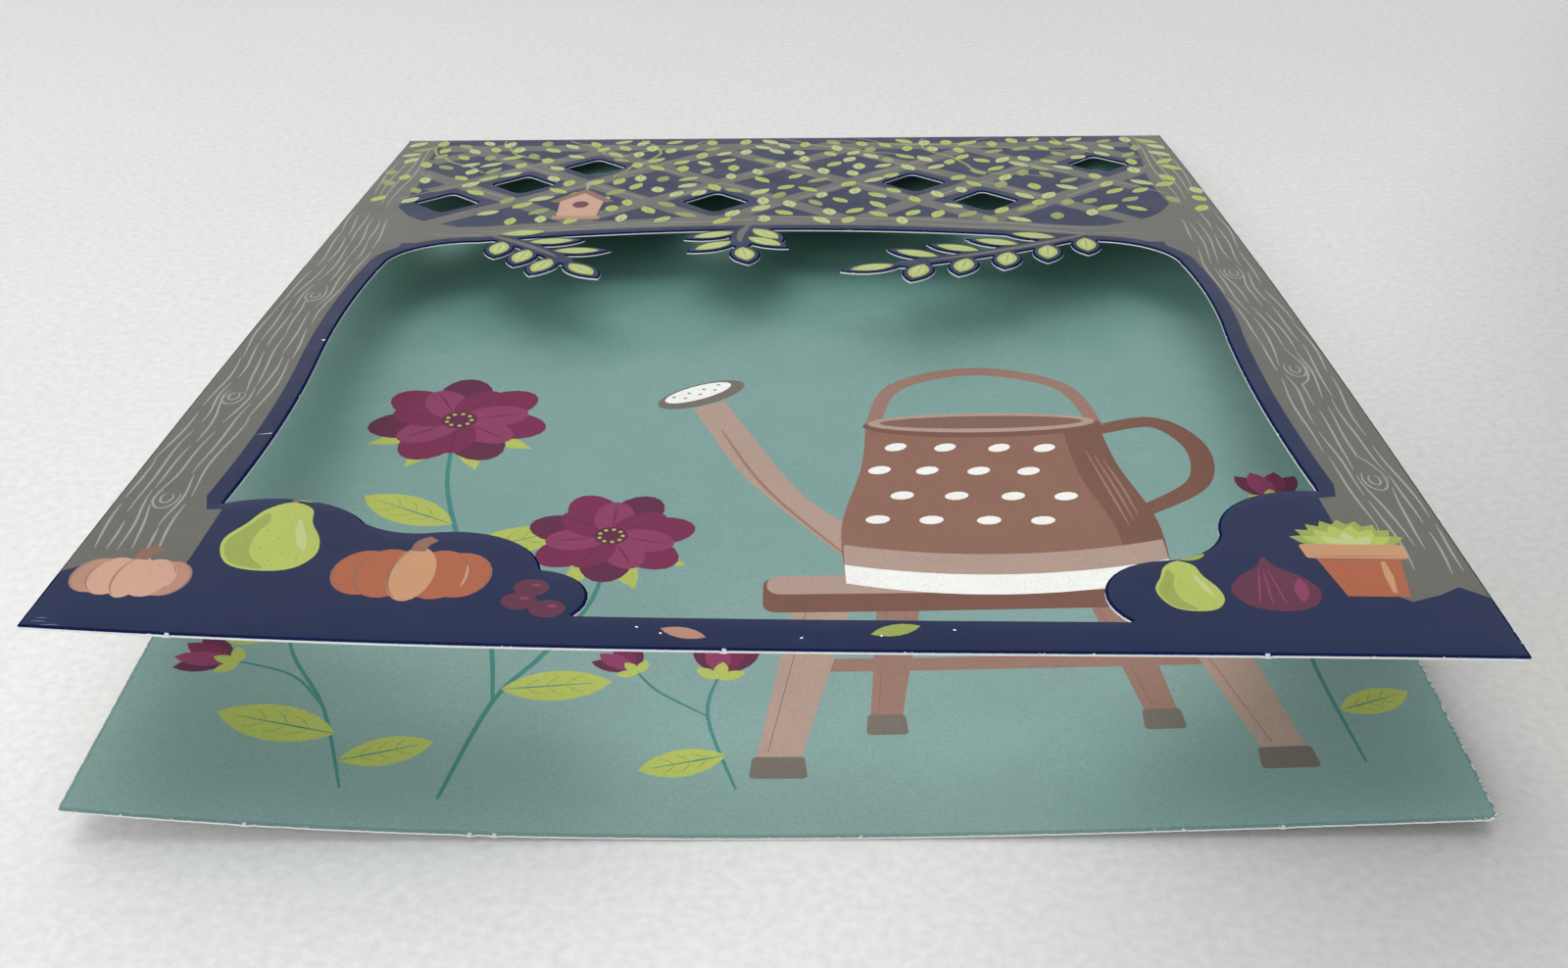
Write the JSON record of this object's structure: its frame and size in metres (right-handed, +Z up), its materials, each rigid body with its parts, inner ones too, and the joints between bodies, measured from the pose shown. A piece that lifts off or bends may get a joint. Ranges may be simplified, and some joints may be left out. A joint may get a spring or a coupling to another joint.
{
  "type": "greeting card",
  "caption": "Folded greeting card lying half open, with a die-cut window in its front cover, lattice gaps and a printed garden scene inside.",
  "frame": {"origin": "on the table under the middle of the card's bounding box", "axes": "+Z up from the table, +Y from the open front towards the fold, +X to the right seen from the open front"},
  "size_m": [0.127, 0.1778, 0.0227],
  "materials": {
    "printed_card": "printed card: satin coated outside, uncoated matte inside, white cut edges"
  },
  "bodies": {
    "root": {"folded_card": "printed_card"}
  },
  "joints": []
}
